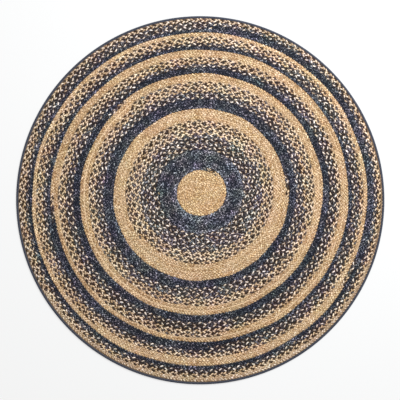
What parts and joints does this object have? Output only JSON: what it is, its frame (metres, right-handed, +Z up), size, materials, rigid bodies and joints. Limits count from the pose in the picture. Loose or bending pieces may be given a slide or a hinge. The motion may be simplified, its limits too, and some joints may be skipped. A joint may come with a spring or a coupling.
{
  "type": "round braided jute rug",
  "caption": "Round flat floor rug of one plait coiled and sewn edge to edge, natural jute and navy in rings, with a bound rim.",
  "frame": {"origin": "middle of the underside, on the floor", "axes": "+Z up, square to the rug; +Y towards the rug's edge that the coil's middle lies nearer to; +X to the right of that"},
  "size_m": [1.83, 1.83, 0.009],
  "materials": {
    "jute_braid": "rough braided jute, natural and navy strands",
    "binding_yarn": "matt navy yarn, closely stitched"
  },
  "bodies": {
    "root": {"braided_coil": "jute_braid", "edge_binding": "binding_yarn"}
  },
  "joints": []
}
